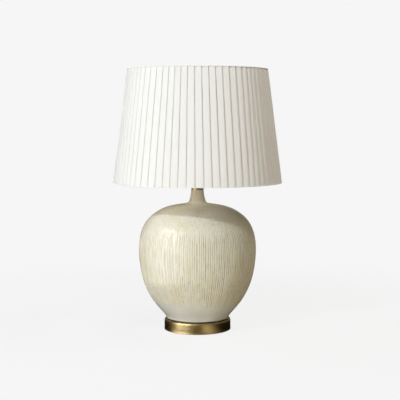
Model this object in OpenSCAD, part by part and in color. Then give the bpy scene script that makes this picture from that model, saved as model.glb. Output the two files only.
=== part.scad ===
// Table lamp: a glazed ceramic vase on a spun brass foot, with a knife-pleated empire shade.
// The lamp stands on z = 0, its axis is the Z axis and its front is towards -Y.

/* [Brass foot] */
// Outer radius of the foot's wall
foot_r = 78.8; // [76:0.2:80]
// How far the lip at the bottom of the wall flares out
lip_flare = 0.4; // [0:0.1:2]
// Height of the foot's top plate above the table
foot_h = 26.5; // [24:0.5:40]
// Radius of the rolled shoulder between wall and top plate
foot_shoulder_r = 4.5; // [3:0.25:6]
// Thickness of the spun sheet
foot_t = 1.5; // [1:0.1:2]
// Height of the lip over the table, so that the lamp stands on its felt
lip_gap = 0.5; // [0.3:0.1:1.5]
// Height of the band over which the lip flares
lip_band = 5; // [3:0.5:5]

/* [Foot fittings] */
// Thickness of the felt under the lamp
felt_t = 2; // [1.5:0.5:3]
// How far the felt stays inside the closing board's edge
felt_margin = 0.8; // [0:0.2:4]
// Thickness of the fibreboard disc that closes the foot
board_t = 3; // [2:0.5:3.5]
// Radius of the hole in the flex bush, for a round flex
bush_bore_r = 3.2; // [2.6:0.1:3.4]
// Radius of the bush where it passes the wall
bush_neck_r = 4.4; // [4.2:0.1:4.7]
// Radius of the bush's outer flange
bush_flange_r = 6.4; // [5.8:0.1:6.6]
// Thickness of the bush's outer flange
bush_flange_t = 1.8; // [1:0.2:3]
// Radius of the bush's snap ring inside the wall
bush_snap_r = 5.1; // [5:0.1:5.6]
// Length of the snap ring
bush_snap_l = 2.2; // [1.5:0.1:4]
// Height of the bush's axis above the table
bush_z = 12.6; // [12.5:0.1:13]

/* [Ceramic body] */
// Height of the ceramic from foot ring to neck
body_h = 304; // [290:1:330]
// Radius of the ceramic at its foot ring
body_foot_r = 74.4; // [72:0.2:78]
// Radius where the lower wall leans out most
flare_r = 102.5; // [95:0.5:108]
// Height of that place above the foot ring
flare_h = 36.5; // [30:0.5:45]
// Lean of the wall there, in degrees from level
flare_angle = 53.5; // [45:0.5:60]
// Radius at the widest place
belly_r = 139; // [125:1:150]
// Height of the widest place above the foot ring
belly_h = 157.5; // [145:0.5:170]
// Radius at the shoulder
shoulder_r = 91; // [80:1:100]
// Height of the shoulder above the foot ring
shoulder_h = 254.5; // [245:0.5:260]
// Slope of the shoulder, in degrees from level
shoulder_angle = 31; // [25:0.5:36]
// Radius of the neck at its top
neck_r = 14.5; // [14:0.5:20]
// Wall thickness of the ceramic
body_wall = 5; // [3:0.5:5]
// Thickness of the ceramic's floor
floor_t = 7; // [5:0.5:12]
// Radius of the hole in the ceramic's floor
floor_hole_r = 9; // [7:0.5:12]
// Thickness of the black rubber gasket under the ceramic
gasket_t = 2.6; // [1.5:0.1:4]
// Width of the gasket ring
gasket_w = 8; // [5:1:14]

/* [Ceramic curve] */
// Reach of the upright stretch above the foot ring
foot_pull = 6.5; // [3:0.5:10]
// Reach of the straight stretch above the flare
flare_pull = 56.5; // [40:0.5:60]
// Reach of the straight stretch below the flare
flare_pull_down = 22.5; // [10:0.5:26]
// Reach of the upright stretch below the widest place
belly_pull_down = 16; // [8:1:40]
// Reach of the upright stretch above the widest place
belly_pull_up = 59; // [40:1:70]
// Reach of the straight stretch outside the shoulder
shoulder_pull = 34; // [20:1:45]
// Radius of the throat, where the shoulder turns up into the neck
throat_r = 21.5; // [20:0.5:24]
// Depth of the throat below the neck's top
throat_drop = 29.5; // [26:0.5:32]
// Slope of the throat, in degrees from level
throat_angle = 55.5; // [48:0.5:62]
// Reach of the straight stretch between shoulder and throat
shoulder_pull_in = 33; // [28:1:38]
// Reach of the straight stretch outside the throat
throat_pull_out = 7.5; // [6:0.5:9]
// Reach of the straight stretch above the throat
throat_pull_up = 6; // [4:0.5:8]
// Lean of the neck's wall at its top, in degrees from upright
neck_lean = 6; // [0:0.5:8]
// Reach of the straight stretch below the neck's top
neck_pull = 15.5; // [10:0.5:18]

/* [Rod and neck] */
// Outer radius of the hollow threaded rod
rod_r = 5; // [4.6:0.1:5.4]
// Radius of the rod's bore
rod_bore_r = 3.6; // [3:0.1:4]
// Rod length below the nut under the top plate
rod_tail = 2; // [1:0.5:3]
// Radius of the steel washer in the foot
washer_r = 15; // [12:0.5:25]
// Thickness of the washer
washer_t = 1.6; // [1:0.2:3]
// Width across flats of the foot nut
foot_nut_af = 17; // [14:0.5:22]
// Thickness of the foot nut
foot_nut_t = 6; // [4:0.5:7]
// Thickness of the seal between neck and cap
seal_t = 0.8; // [0.5:0.1:2]
// Height of the turned brass neck cap
cap_h = 3.6; // [3:0.2:8]
// How far the cap's rim stands out past the neck
cap_lip = 0.3; // [0:0.1:2]
// Depth of the cap's spigot inside the neck
spigot_d = 8; // [4:1:16]
// Width across flats of the neck nut
neck_nut_af = 17; // [14:0.5:20]
// Thickness of the neck nut
neck_nut_t = 4; // [3:0.5:8]
// Outer radius of the brass stem tube
stem_r = 8.5; // [7:0.25:10]
// Length of the stem tube
stem_l = 12; // [6:1:30]

/* [Lampholder] */
// Outer radius of the brass cup
cup_r = 20.5; // [20:0.1:22]
// Thickness of the cup's sheet
cup_t = 1; // [0.8:0.1:1.2]
// Radius of the cup's collar round the rod
collar_r = 9; // [8:0.25:10]
// Height of the collar
collar_h = 9; // [6:0.5:14]
// Height of the cup's straight wall above its dome
cup_wall_h = 19.5; // [18:0.5:26]
// Radius of the grub screw that locks the cup on the rod
grub_r = 1.6; // [1.2:0.1:2]
// Radius of the screw barrel that carries the shade
barrel_r = 19.8; // [19.4:0.1:20.2]
// Height of the barrel above its flange
barrel_h = 30; // [26:1:40]
// Wall of the barrel
barrel_t = 1.2; // [0.8:0.1:1.4]
// Radius of the flange that the shade rests on
flange_r = 25; // [24:0.25:26]
// Thickness of the flange
flange_t = 2; // [1.5:0.25:3]
// Length of the sleeve that screws into the cup
sleeve_l = 6; // [4:0.5:7]
// Wall of the sleeve
sleeve_t = 1; // [0.7:0.1:1.1]
// Radius of the push bar
bar_r = 3.2; // [2.5:0.1:3.4]
// Depth of the push bar's axis below the cup's rim
bar_drop = 11; // [10.75:0.25:12]
// Travel of the push bar
bar_travel = 5; // [4:0.5:6]
// How far the pushed end of the bar stands out of the cup
bar_proud = 2.5; // [1.5:0.5:4]
// Length of the stop block on the bar
stop_l = 6; // [4:0.5:7]
// How far the stop block stands out round the bar
stop_rim = 1.4; // [1:0.1:2]
// Radius of the switch block and of the socket's base
block_r = 17.9; // [17.2:0.1:18]
// Thickness of the socket's base disc
core_base_t = 8; // [6:0.5:9]
// Depth of the recess for the centre contact
contact_recess = 1.5; // [1:0.25:2]
// Width of the centre contact's strip
contact_w = 5; // [3:0.5:6]
// Thickness of the contact and shell sheet
contact_t = 0.5; // [0.3:0.1:0.6]
// Length of the screw shell
shell_l = 19; // [16:0.5:20]
// Wall of the insulating sleeve round the screw shell
core_wall = 2; // [1.5:0.1:2.2]
// Outer radius of the clamp ring's flange
ring_flange_r = 26; // [25:0.25:27]
// Thickness of the clamp ring's flange
ring_flange_t = 2; // [1.5:0.25:3]
// Radius of the clamp ring's grip
ring_grip_r = 23.8; // [23:0.1:25]
// Height of the clamp ring's grip
ring_grip_h = 7; // [5:0.5:12]
// Number of flutes on the clamp ring's grip
ring_flutes = 24; // [12:1:30]
// Radius of a flute
flute_r = 0.9; // [0.5:0.1:1.2]

/* [Bulb] */
// Outer radius of the bulb's screw cap
bulb_cap_r = 13.1; // [12.8:0.1:13.2]
// Length of the screw cap's shell
bulb_cap_l = 21.5; // [20:0.5:24]
// Thickness of the screw cap's sheet
bulb_cap_t = 0.5; // [0.3:0.1:0.6]
// Pitch of the round thread
thread_pitch = 3.6; // [3:0.1:4]
// Depth of the round thread
thread_d = 1; // [0.4:0.1:1.2]
// Radius of the bulb's glass
bulb_r = 30; // [24:1:34]
// Length of the bulb from contact to crown
bulb_l = 105; // [98:1:120]
// Thickness of the bulb's glass
glass_t = 1; // [0.8:0.1:1.5]

/* [Shade] */
// Radius of the shade at its bottom edge
shade_bottom_r = 200; // [180:1:220]
// Radius of the shade at its top edge
shade_top_r = 165.7; // [140:0.1:180]
// Height of the shade along the axis
shade_h = 266.2; // [240:0.2:300]
// Depth of the shade's lower edge below the flange that carries it
shade_drop = 45.7; // [40:0.1:55]
// Thickness of the edge binding
binding_t = 0.6; // [0.5:0.1:1]
// Height of the edge binding on the outside
binding_h = 1.6; // [1.4:0.2:8]

/* [Pleats] */
// Number of knife pleats round the shade
pleat_count = 68; // [56:1:76]
// Depth of a pleat from fold to hollow
pleat_d = 1.8; // [1:0.1:2.6]
// Thickness of the cover behind the hollows
cover_t = 0.7; // [0.5:0.1:1.2]
// How far a fold laps over the next pleat, in degrees round the shade
pleat_lap = 0.35; // [0.1:0.05:0.6]
// Place of the fold that the pleats are counted from, in degrees right of the front
pleat_start = -33.8; // [-40:0.2:40]
// Slow swing of the hand-laid pitch, in degrees
slow_swing = 0.28; // [0:0.02:0.3]
// Quick swing of the hand-laid pitch, in degrees
quick_swing = 0.32; // [0:0.02:0.34]
// Swing of the folds' lean between the shade's edges, in degrees
pleat_lean = 0.5; // [0:0.1:0.8]

/* [Wire frame] */
// Radius of the frame's wire
wire_r = 1.5; // [1.2:0.1:2]
// Number of struts between the rings
strut_count = 6; // [3:3:12]
// Thickness of the lining
lining_t = 0.6; // [0.4:0.1:1]
// Radius of the fitter ring's hole
fitter_hole_r = 21; // [20.6:0.1:22.5]
// Outer radius of the fitter ring
fitter_r = 27.5; // [27.4:0.1:30]
// Thickness of the fitter ring
fitter_t = 1.2; // [1:0.1:2]
// Number of arms that carry the fitter ring
arm_count = 3; // [2:1:4]
// Length of an arm's level part at the bottom ring
arm_foot = 12; // [6:1:20]
// Length of an arm's level part at the fitter ring
arm_head = 7; // [4:1:12]

/* [Fits] */
// Gap between pieces that lie loosely side by side
slack = 0.3; // [0.2:0.05:0.35]
// Gap between pieces that are pushed together
snug = 0.1; // [0.05:0.05:0.15]
// Radial clearance of pieces that slide or turn on each other
running = 0.07; // [0.04:0.01:0.1]

/* [Hidden] */
$fn = 96;
past = 1;

// Heights from the table up
z_body = foot_h + gasket_t;
z_neck = z_body + body_h;
z_cap = z_neck + seal_t;
z_neck_nut = z_cap + cap_h;
z_stem = z_neck_nut + neck_nut_t;
z_cup = z_stem + stem_l;
dome_r = cup_r - collar_r;
z_dome = z_cup + collar_h + dome_r;
z_cup_rim = z_dome + cup_wall_h;
z_bar = z_cup_rim - bar_drop;
z_flange = z_cup_rim + flange_t;
z_barrel_top = z_flange + barrel_h;
z_clamp = z_flange + fitter_t;
z_core = z_cup_rim - snug;
z_socket = z_core + core_base_t;
z_leaf = z_socket - contact_recess;
leaf_rise = 3.2;
z_bulb = z_leaf + leaf_rise + slack;
z_shade = z_flange - shade_drop;
z_shade_top = z_shade + shade_h;

// Rod from under the foot nut to the cup's floor
z_washer = foot_h - foot_t - washer_t;
z_foot_nut = z_washer - foot_nut_t;
z_rod = z_foot_nut - rod_tail;
z_rod_top = z_cup + collar_h + cup_t;
rod_hole_r = rod_r + snug;

// Cup, switch and socket
cup_inner_r = cup_r - cup_t;
sleeve_r = cup_inner_r - snug;
block_seat = block_r + snug - collar_r;
z_block = z_dome - sqrt(pow(dome_r - cup_t, 2) - pow(block_seat, 2));
bar_l = 2 * (cup_r + bar_proud) + bar_travel;
bar_edge = 0.8;
stop_w = 2 * (bar_r + stop_rim);
pocket_l = stop_l + bar_travel + 2 * slack;
pocket_w = stop_w + 2 * slack;
wire_hole_r = 1.8;
wire_hole_y = pocket_w / 2 + wire_hole_r + 2.5;
shell_r = bulb_cap_r + slack + contact_t;
shell_floor_r = 7;
core_bore_r = shell_r + snug;
core_sleeve_r = core_bore_r + core_wall;
core_sleeve_l = shell_l + 2;
barrel_mouth_r = core_sleeve_r + slack;
screw_head_r = 1.9;
screw_head_t = 1.2;
screw_shank_r = 1.25;
shell_screw_x = shell_floor_r + screw_head_r + 1;
leaf_half = shell_floor_r - 0.8;
leaf_bend_y = -2.4;
contact_screw_y = -4.3;
contact_head_r = 1.6;
contact_head_t = 0.9;

// Bulb
button_r = 4.8;
button_t = 1.2;
z_bulb_cap = z_bulb + 4.6;
z_glass = z_bulb_cap + bulb_cap_l;
cap_plug_r = bulb_cap_r - thread_d - bulb_cap_t - snug;
bulb_centre = [0, z_bulb + bulb_l - bulb_r];
bulb_neck_angle = -38;

// Shade: distances inwards from its outer cone
cone_slope = (shade_bottom_r - shade_top_r) / shade_h;
crest_in = binding_t + snug;
cover_in = crest_in + pleat_d + cover_t;
frame_in = cover_in + 2 * snug + wire_r;
lining_in = frame_in + wire_r + slack;
web_in = frame_in + wire_r + 1;
z_cover = z_shade + binding_t + snug;
z_cover_top = z_shade_top - binding_t - snug;
z_ring = z_cover + wire_r;
z_top_ring = z_cover_top - wire_r;
z_lining = z_ring + wire_r + slack;
z_lining_top = z_top_ring - wire_r - slack;
ring_r = cone_r(z_ring) - frame_in;
top_ring_r = cone_r(z_top_ring) - frame_in;
z_fitter = z_flange + fitter_t / 2;
frame_start = 90;

// A pleat's face from its hollow to its fold: share of the pitch and share of the depth
face_share = [0, 0.25, 0.65, 1];
face_depth = [1, 0.62, 0.2, 0];
slow_waves = 8;
slow_phase = -8;
quick_waves = 11;
quick_phase = 40;
lean_waves = 5;
lean_phase = 70;

// Colours
brass = "#8f7a45";
steel = "#a9aaab";
black = "#1f1e1c";
cream = "#d9d5be";
cloth = "#f1f0ea";
enamel = "#e8e7e2";
phenolic = "#2b2622";

STRUTS = [for (i = [1:strut_count]) str("strut_", i)];
ARMS = [for (i = [1:arm_count]) str("spider_arm_", i)];

// Points of a circular arc in the plane of a turned outline
function arc(centre, r, from, to, steps) = [
    for (i = [0:steps])
        let (a = from + (to - from) * i / steps)
        centre + r * [cos(a), sin(a)]
];

// Point and direction of a cubic curve with four control points
function curve_point(p, t) =
    pow(1 - t, 3) * p[0] + 3 * pow(1 - t, 2) * t * p[1] + 3 * (1 - t) * t * t * p[2] + t * t * t * p[3];
function curve_way(p, t) =
    pow(1 - t, 2) * (p[1] - p[0]) + 2 * (1 - t) * t * (p[2] - p[1]) + t * t * (p[3] - p[2]);

// The curve's point moved to the left of its way by a wall's thickness
function curve_inside(p, t, wall) =
    let (d = curve_way(p, t))
    curve_point(p, t) + wall * [-d.y, d.x] / norm(d);

function reversed(list) = [for (i = [len(list) - 1:-1:0]) list[i]];

function level(z) = [0, z];

// Radius of the shade's outer cone at a height
function cone_r(z) = shade_bottom_r - (z - z_shade) * cone_slope;

// Radius of the bulb's round thread at a height
function thread_r(z) = bulb_cap_r - thread_d / 2 * (1 - cos(360 * (z - z_bulb) / thread_pitch));

// The round thread's outline between two heights, at a distance outwards
function thread_line(from, to, out) =
    let (steps = ceil((to - from) / thread_pitch * 8))
    [for (i = [0:steps]) let (z = from + (to - from) * i / steps) [thread_r(z) + out, z]];

// Angle of a fold right of the front, at the shade's bottom (-1) to its top (1)
function fold_at(i, up) =
    let (turn = 360 * i / pleat_count)
    pleat_start + turn
        + slow_swing * sin(slow_waves * turn + slow_phase)
        + quick_swing * sin(quick_waves * turn + quick_phase)
        + pleat_lean * sin(lean_waves * turn + lean_phase) * up;

module turned(points) {
    rotate_extrude() polygon(points);
}

module disc(r, z, h) {
    translate([0, 0, z]) cylinder(r = r, h = h);
}

module tube(r_out, r_in, z, h) {
    turned([[r_in, z], [r_out, z], [r_out, z + h], [r_in, z + h]]);
}

module hex_nut(across, z, h) {
    corner_r = across / sqrt(3);
    flat_r = across / 2;
    bevel = 0.8;
    difference() {
        intersection() {
            translate([0, 0, z]) cylinder(r = corner_r, h = h, $fn = 6);
            turned([
                [0, z], [flat_r, z], [corner_r, z + bevel],
                [corner_r, z + h - bevel], [flat_r, z + h], [0, z + h]
            ]);
        }
        disc(rod_hole_r, z - past, h + 2 * past);
    }
}

// A round wire between two points
module wire(from, to) {
    way = to - from;
    translate(from)
        rotate([0, acos(way.z / norm(way)), atan2(way.y, way.x)])
            cylinder(r = wire_r, h = norm(way));
}

module felt_pad() {
    color(black) disc(foot_r - foot_t - slack - felt_margin, 0, felt_t);
}

module base_board() {
    color("#7a6a52") disc(foot_r - foot_t - slack, felt_t, board_t);
}

module brass_foot() {
    arc_centre = [foot_r - foot_shoulder_r, foot_h - foot_shoulder_r];
    lip_r = foot_r + lip_flare;
    z_band = lip_gap + lip_band;
    lip_round = foot_t / 2;
    color(brass) difference() {
        turned(concat(
            arc([lip_r - lip_round, lip_gap + lip_round], lip_round, -180, 0, 8),
            [[foot_r, z_band]],
            arc(arc_centre, foot_shoulder_r, 0, 90, 10),
            [[rod_hole_r, foot_h], [rod_hole_r, foot_h - foot_t]],
            arc(arc_centre, foot_shoulder_r - foot_t, 90, 0, 8),
            [[foot_r - foot_t, z_band]]
        ));
        translate([0, foot_r - 2 * foot_t, bush_z]) rotate([-90, 0, 0])
            cylinder(r = bush_neck_r + snug, h = 3 * foot_t);
    }
}

module flex_bush() {
    snap_y = foot_r - foot_t - 2 * snug - slack;
    flange_y = foot_r + bush_flange_t;
    color(black) difference() {
        union() {
            difference() {
                translate([0, foot_r - foot_t, bush_z]) rotate([-90, 0, 0])
                    cylinder(r = bush_flange_r, h = foot_t + bush_flange_t);
                disc(foot_r + snug / 2, bush_z - 2 * bush_flange_r, 4 * bush_flange_r);
            }
            translate([0, snap_y, bush_z]) rotate([-90, 0, 0])
                cylinder(r = bush_neck_r, h = flange_y - snap_y);
            translate([0, snap_y - bush_snap_l, bush_z]) rotate([-90, 0, 0])
                cylinder(r = bush_snap_r, h = bush_snap_l);
        }
        translate([0, snap_y - bush_snap_l - past, bush_z]) rotate([-90, 0, 0])
            cylinder(r = bush_bore_r, h = flange_y - snap_y + bush_snap_l + 2 * past);
    }
}

module foot_washer() {
    color(steel) tube(washer_r, rod_hole_r, z_washer, washer_t);
}

module foot_nut() {
    color(steel) hex_nut(foot_nut_af, z_foot_nut, foot_nut_t);
}

module foot_gasket() {
    color(black) tube(body_foot_r - snug, body_foot_r - gasket_w, foot_h, gasket_t);
}

// The vase's outline above the foot ring, as five curves from foot to neck
module ceramic_body() {
    lean = [cos(flare_angle), sin(flare_angle)];
    slope = [-cos(shoulder_angle), sin(shoulder_angle)];
    foot = [body_foot_r, 0];
    flare = [flare_r, flare_h];
    belly = [belly_r, belly_h];
    shoulder = [shoulder_r, shoulder_h];
    turn = [-cos(throat_angle), sin(throat_angle)];
    throat = [throat_r, body_h - throat_drop];
    neck = [neck_r, body_h];
    curves = [
        [foot, foot + level(foot_pull), flare - flare_pull_down * lean, flare],
        [flare, flare + flare_pull * lean, belly - level(belly_pull_down), belly],
        [belly, belly + level(belly_pull_up), shoulder - shoulder_pull * slope, shoulder],
        [shoulder, shoulder + shoulder_pull_in * slope, throat - throat_pull_out * turn, throat],
        [throat, throat + throat_pull_up * turn, neck + neck_pull * [tan(neck_lean), -1], neck]
    ];
    steps = [6, 11, 11, 9, 11];
    rim = 0.8;
    outside = [for (c = [0:4], i = [1:steps[c]]) curve_point(curves[c], i / steps[c])];
    inside = [
        for (c = [0:4], i = [1:steps[c]])
            let (q = curve_inside(curves[c], i / steps[c], body_wall))
            if (q.y > floor_t + rim) q
    ];
    neck_side = [for (q = outside) if (q.y < body_h - rim) q];
    color(cream) translate([0, 0, z_body]) turned(concat(
        [[floor_hole_r, 0], foot - [rim, 0], foot + [0, rim]],
        neck_side,
        [neck - [0, rim], neck - [rim, 0]],
        reversed(inside),
        [[inside[0].x - rim, floor_t], [floor_hole_r, floor_t]]
    ));
}

module threaded_rod() {
    color(steel) tube(rod_r, rod_bore_r, z_rod, z_rod_top - z_rod);
}

module neck_seal() {
    color(black) tube(neck_r - 0.5, neck_r - body_wall, z_neck, seal_t);
}

module neck_cap() {
    cap_r = neck_r + cap_lip;
    spigot_r = neck_r - body_wall - slack;
    z_spigot = z_neck - spigot_d;
    z_side = z_cap + cap_h * 0.4;
    seat_r = neck_nut_af / sqrt(3) + 1;
    side = [
        [cap_r, z_side], [cap_r, z_cap + cap_h * 0.85],
        [seat_r + (cap_r - seat_r) * 0.6, z_neck_nut], [seat_r, z_neck_nut]
    ];
    color(brass) turned(concat(
        [[rod_hole_r, z_spigot], [spigot_r, z_spigot], [spigot_r, z_cap], [cap_r, z_cap]],
        [for (i = [0:6]) curve_point(side, i / 6)],
        [[rod_hole_r, z_neck_nut]]
    ));
}

module neck_nut() {
    color(brass) hex_nut(neck_nut_af, z_neck_nut, neck_nut_t);
}

module stem_tube() {
    edge = 0.5;
    color(brass) turned([
        [rod_hole_r, z_stem], [stem_r - edge, z_stem], [stem_r, z_stem + edge],
        [stem_r, z_cup - edge], [stem_r - edge, z_cup], [rod_hole_r, z_cup]
    ]);
}

module holder_cup() {
    dome_centre = [collar_r, z_dome];
    edge = 0.5;
    color(brass) difference() {
        turned(concat(
            [[rod_hole_r, z_cup], [collar_r - edge, z_cup], [collar_r, z_cup + edge]],
            arc(dome_centre, dome_r, -90, 0, 12),
            [[cup_r, z_cup_rim], [cup_inner_r, z_cup_rim]],
            arc(dome_centre, dome_r - cup_t, 0, -90, 12),
            [[rod_hole_r, z_rod_top]]
        ));
        translate([-cup_r - past, 0, z_bar]) rotate([0, 90, 0])
            cylinder(r = bar_r + running, h = 2 * (cup_r + past));
        translate([0, 0, z_cup + collar_h / 2]) rotate([-90, 0, 0])
            cylinder(r = grub_r + snug / 2, h = collar_r + past);
    }
}

module grub_screw() {
    slot_w = 0.6;
    slot_d = 0.8;
    end_y = collar_r - slack;
    color(steel) translate([0, 0, z_cup + collar_h / 2]) difference() {
        translate([0, rod_r + snug, 0]) rotate([-90, 0, 0])
            cylinder(r = grub_r, h = end_y - rod_r - snug);
        translate([-grub_r - past, end_y - slot_d, -slot_w / 2])
            cube([2 * (grub_r + past), slot_d + past, slot_w]);
    }
}

module switch_block() {
    color(phenolic) difference() {
        disc(block_r, z_block, z_core - z_block);
        translate([-block_r - past, 0, z_bar]) rotate([0, 90, 0])
            cylinder(r = bar_r + running, h = 2 * (block_r + past));
        translate([-pocket_l / 2, -pocket_w / 2, z_bar - pocket_w / 2])
            cube([pocket_l, pocket_w, z_core - z_bar + pocket_w / 2 + past]);
        for (side = [-1, 1])
            translate([0, side * wire_hole_y, 0]) disc(wire_hole_r, z_block - past, z_core - z_block + 2 * past);
    }
}

module switch_bar() {
    half = bar_l / 2;
    color(black) translate([bar_travel / 2, 0, z_bar]) {
        rotate([0, 90, 0]) turned([
            [0, -half], [bar_r - bar_edge, -half], [bar_r, bar_edge - half],
            [bar_r, half - bar_edge], [bar_r - bar_edge, half], [0, half]
        ]);
        translate([-stop_l / 2, -stop_w / 2, -stop_w / 2]) cube([stop_l, stop_w, stop_w]);
    }
}

module socket_core() {
    color(phenolic) difference() {
        turned([
            [0, z_core], [block_r, z_core], [block_r, z_socket], [core_sleeve_r, z_socket],
            [core_sleeve_r, z_socket + core_sleeve_l], [core_bore_r, z_socket + core_sleeve_l],
            [core_bore_r, z_socket], [shell_floor_r - snug, z_socket], [shell_floor_r - snug, z_leaf],
            [0, z_leaf]
        ]);
        for (side = [-1, 1])
            translate([side * shell_screw_x, 0, 0]) disc(screw_shank_r + snug / 2, z_core - past, core_base_t + 2 * past);
        translate([0, contact_screw_y, 0]) disc(screw_shank_r + snug / 2, z_core - past, core_base_t + past);
    }
}

module screw_shell() {
    top = z_socket + shell_l;
    floor_top = z_socket + contact_t;
    color(brass) difference() {
        turned(concat(
            [[shell_floor_r, z_socket]],
            thread_line(z_socket, top, slack + contact_t),
            reversed(thread_line(floor_top, top, slack)),
            [[shell_floor_r, floor_top]]
        ));
        for (side = [-1, 1])
            translate([side * shell_screw_x, 0, 0]) disc(screw_shank_r + snug / 2, z_socket - past, 2 * past);
    }
}

module pan_screw(head_r, head_t, z_head, z_tip) {
    turned([
        [0, z_tip], [screw_shank_r, z_tip], [screw_shank_r, z_head], [head_r, z_head],
        [head_r, z_head + head_t / 2], [head_r * 0.75, z_head + head_t], [0, z_head + head_t]
    ]);
}

module shell_screws() {
    color(steel) for (side = [-1, 1])
        translate([side * shell_screw_x, 0, 0])
            pan_screw(screw_head_r, screw_head_t, z_socket + contact_t, z_core + past);
}

// A springy strip that rises from its screw to the bulb's contact
module centre_contact() {
    tip_z = z_leaf + leaf_rise;
    tip_y = 3.2;
    rise_y = 0.3;
    color(brass) difference() {
        translate([contact_w / 2, 0, 0]) rotate([0, -90, 0]) linear_extrude(contact_w) polygon([
            [z_leaf, -leaf_half], [z_leaf, leaf_bend_y], [tip_z - contact_t, rise_y],
            [tip_z - contact_t, tip_y], [tip_z, tip_y], [tip_z, rise_y - contact_t],
            [z_leaf + contact_t, leaf_bend_y - contact_t], [z_leaf + contact_t, -leaf_half]
        ]);
        translate([0, contact_screw_y, 0]) disc(screw_shank_r + snug / 2, z_leaf - past, 2 * past);
    }
}

module contact_screw() {
    color(steel) translate([0, contact_screw_y, 0])
        pan_screw(contact_head_r, contact_head_t, z_leaf + contact_t, z_core + past);
}

module holder_barrel() {
    inner_r = barrel_r - barrel_t;
    sleeve_in = sleeve_r - sleeve_t;
    edge = 0.8;
    mouth_t = 1.2;
    color(brass) turned([
        [sleeve_in, z_cup_rim - sleeve_l], [sleeve_r, z_cup_rim - sleeve_l], [sleeve_r, z_cup_rim],
        [flange_r, z_cup_rim], [flange_r, z_flange], [barrel_r, z_flange],
        [barrel_r, z_barrel_top - edge], [barrel_r - edge, z_barrel_top], [barrel_mouth_r, z_barrel_top],
        [barrel_mouth_r, z_barrel_top - mouth_t], [inner_r, z_barrel_top - mouth_t],
        [inner_r, z_cup_rim], [sleeve_in, z_cup_rim]
    ]);
}

module clamp_ring() {
    z_grip = z_clamp + ring_flange_t;
    z_end = z_grip + ring_grip_h;
    bore_r = barrel_r + running;
    edge = 0.6;
    color(brass) difference() {
        turned([
            [bore_r, z_clamp], [ring_flange_r, z_clamp], [ring_flange_r, z_grip], [ring_grip_r, z_grip],
            [ring_grip_r, z_end - edge], [ring_grip_r - edge, z_end], [bore_r, z_end]
        ]);
        for (i = [0:ring_flutes - 1])
            rotate([0, 0, 360 * i / ring_flutes])
                translate([ring_grip_r + flute_r / 3, 0, 0]) disc(flute_r, z_grip, ring_grip_h + past);
    }
}

module bulb_contact() {
    color(steel) turned([
        [0, z_bulb], [button_r * 0.7, z_bulb], [button_r, z_bulb + button_t / 2],
        [button_r, z_bulb + button_t], [0, z_bulb + button_t]
    ]);
}

module bulb_insulator() {
    color(black) turned([
        [0, z_bulb + button_t], [button_r + 0.4, z_bulb + button_t], [thread_r(z_bulb_cap) - bulb_cap_t, z_bulb_cap],
        [cap_plug_r, z_bulb_cap], [cap_plug_r, z_bulb_cap + 3], [0, z_bulb_cap + 3]
    ]);
}

module bulb_cap() {
    color(steel) turned(concat(
        thread_line(z_bulb_cap, z_glass, 0),
        reversed(thread_line(z_bulb_cap, z_glass, -bulb_cap_t))
    ));
}

module bulb_glass() {
    start = [bulb_cap_r, z_glass + snug];
    end = bulb_centre + bulb_r * [cos(bulb_neck_angle), sin(bulb_neck_angle)];
    way = [-sin(bulb_neck_angle), cos(bulb_neck_angle)];
    side = [start, start + [1, 13], end - 14 * way, end];
    steps = 10;
    plug_z = z_glass - 4;
    color(enamel) turned(concat(
        [[cap_plug_r - glass_t, plug_z], [cap_plug_r, plug_z], [cap_plug_r, start.y]],
        [for (i = [0:steps]) curve_point(side, i / steps)],
        arc(bulb_centre, bulb_r, bulb_neck_angle + 4, 90, 18),
        arc(bulb_centre, bulb_r - glass_t, 90, bulb_neck_angle + 4, 18),
        [for (i = [steps:-1:1]) curve_inside(side, i / steps, glass_t)],
        [[cap_plug_r - glass_t, start.y + glass_t]]
    ));
}

module fitter_ring() {
    color(enamel) tube(fitter_r, fitter_hole_r, z_flange, fitter_t);
}

module frame_ring(r, z) {
    color(enamel) translate([0, 0, z]) rotate_extrude() translate([r, 0]) circle(wire_r);
}

module bottom_ring() {
    frame_ring(ring_r, z_ring);
}

module top_ring() {
    frame_ring(top_ring_r, z_top_ring);
}

module strut(i) {
    low = [ring_r, 0, z_ring];
    high = [top_ring_r, 0, z_top_ring];
    way = (high - low) / norm(high - low);
    color(enamel) rotate([0, 0, frame_start + 360 * (i - 1) / strut_count])
        wire(low + wire_r * way, high - wire_r * way);
}

// An arm rises from the bottom ring to the fitter ring with two bends
module spider_arm(i) {
    foot = [ring_r - wire_r, 0, z_ring];
    knee = foot - [arm_foot, 0, 0];
    head = [fitter_r, 0, z_fitter];
    elbow = head + [arm_head, 0, 0];
    bend_r = wire_r + snug;
    color(enamel) rotate([0, 0, frame_start + 360 * (i - 1) / arm_count]) {
        wire(knee, foot);
        translate(knee) sphere(bend_r);
        wire(elbow, knee);
        translate(elbow) sphere(bend_r);
        wire(head, elbow);
    }
}

module lining() {
    color(cloth) turned([
        [cone_r(z_lining) - lining_in, z_lining], [cone_r(z_lining_top) - lining_in, z_lining_top],
        [cone_r(z_lining_top) - lining_in - lining_t, z_lining_top],
        [cone_r(z_lining) - lining_in - lining_t, z_lining]
    ]);
}

// One level of the cover's front (pleated) or back (smooth) outline
function cover_line(z, up, smooth) = [
    for (i = [0:pleat_count - 1], k = [0:3])
        let (
            from = fold_at(i, up),
            to = fold_at(i + 1, up),
            lap = k < 3 ? 0 : smooth ? -pleat_lap : pleat_lap,
            a = from + (to - from) * face_share[k] + lap - 90,
            r = cone_r(z) - (smooth ? cover_in : crest_in + pleat_d * face_depth[k])
        )
        [r * cos(a), r * sin(a), z]
];

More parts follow.
